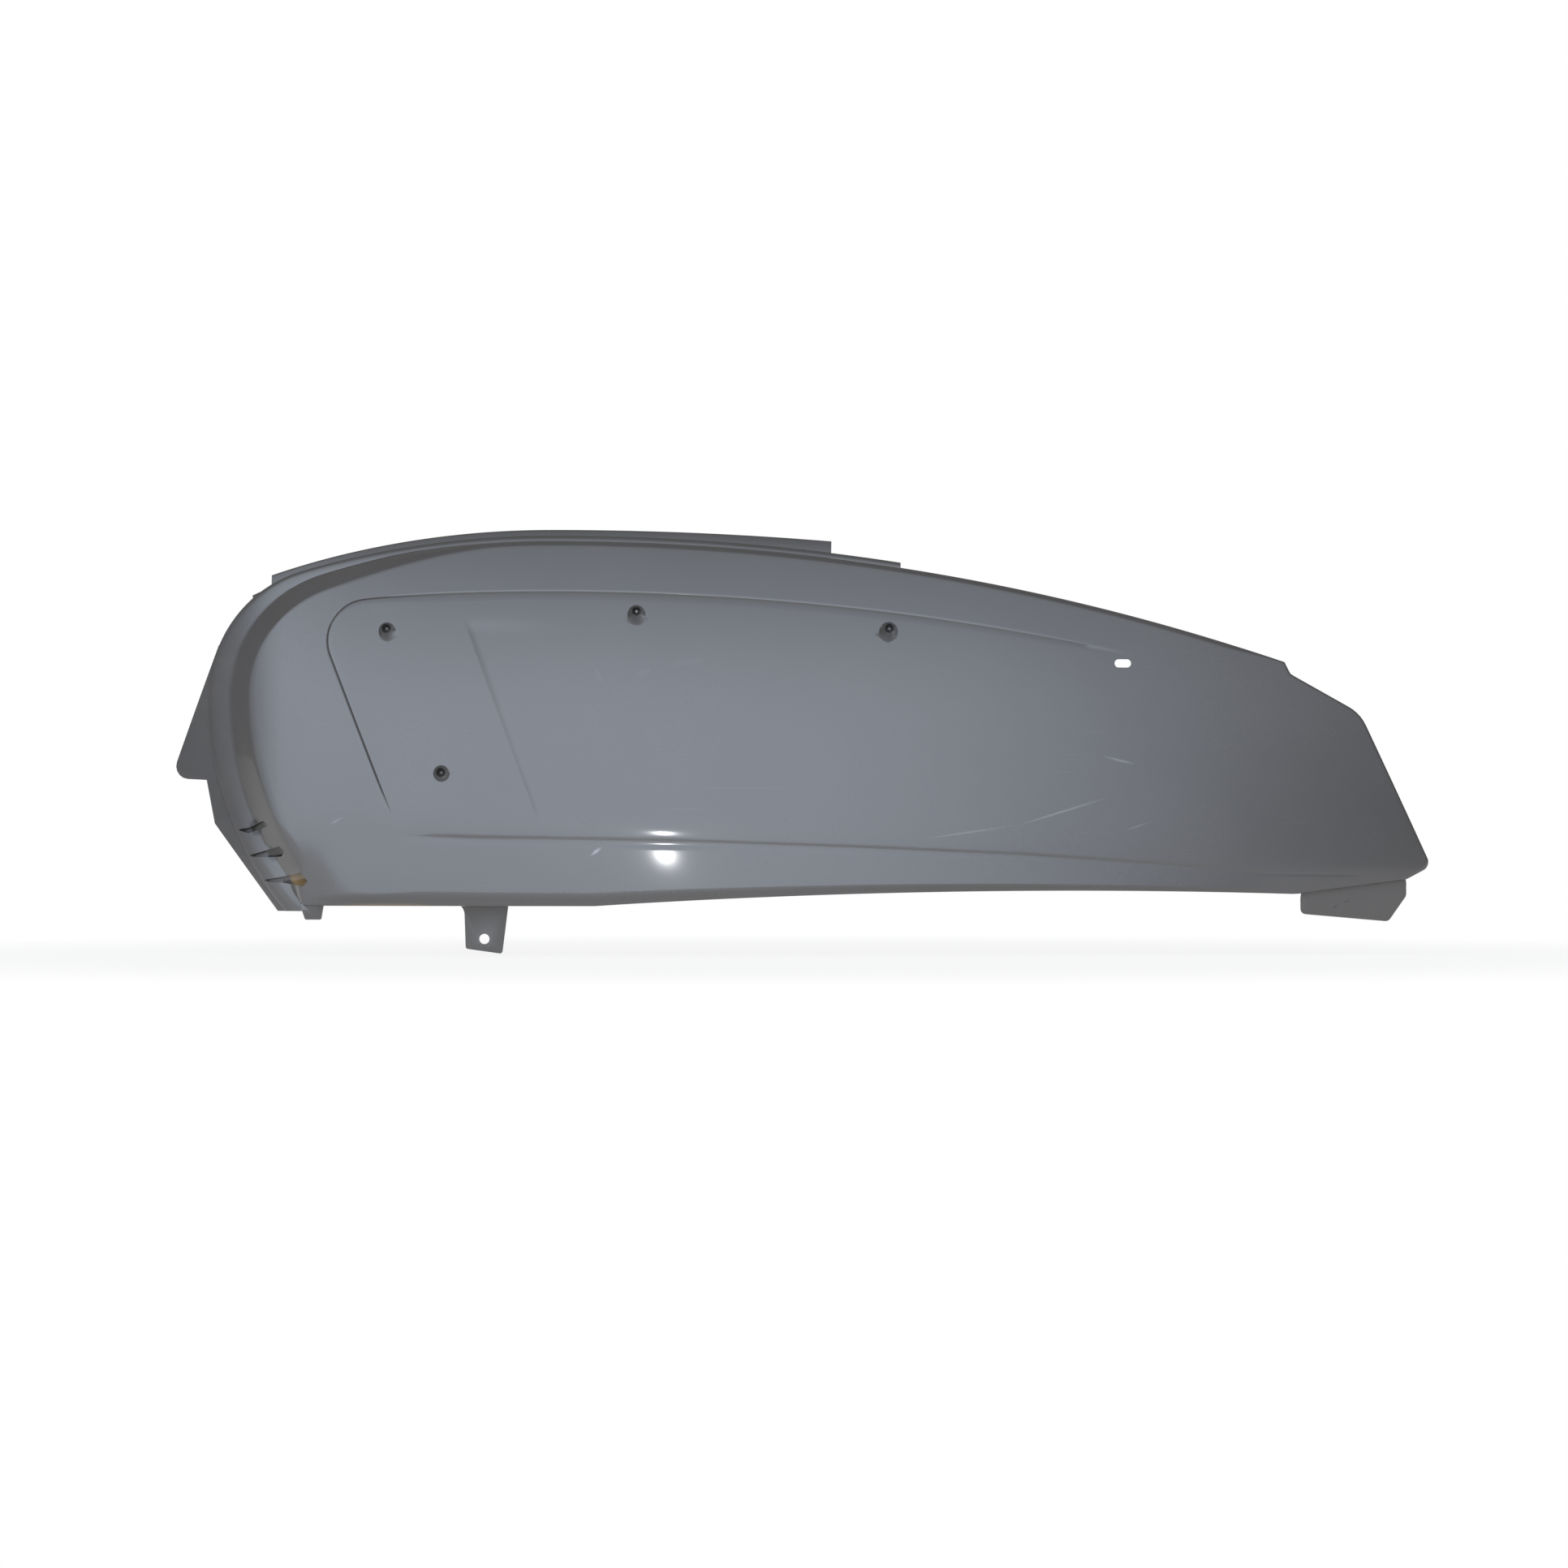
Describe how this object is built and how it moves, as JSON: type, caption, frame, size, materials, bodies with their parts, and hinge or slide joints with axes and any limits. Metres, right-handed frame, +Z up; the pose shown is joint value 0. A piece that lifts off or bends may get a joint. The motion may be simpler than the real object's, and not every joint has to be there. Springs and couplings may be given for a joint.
{
  "type": "scooter rear side panel",
  "caption": "Curved plastic body panel for the left rear side of a scooter, with a set-back rim, trim seat, gills and screw tab.",
  "frame": {"origin": "middle of the lower fixing hole, on the front face of its tab", "axes": "+X runs along the panel from its rounded nose to its tail, +Z is up, +Y points into the scooter, so the outer face looks towards -Y"},
  "size_m": [0.6855, 0.0797, 0.2307],
  "materials": {
    "panel": "gloss dark grey, lightly scuffed"
  },
  "bodies": {
    "root": {"side_panel": "panel"}
  },
  "joints": []
}
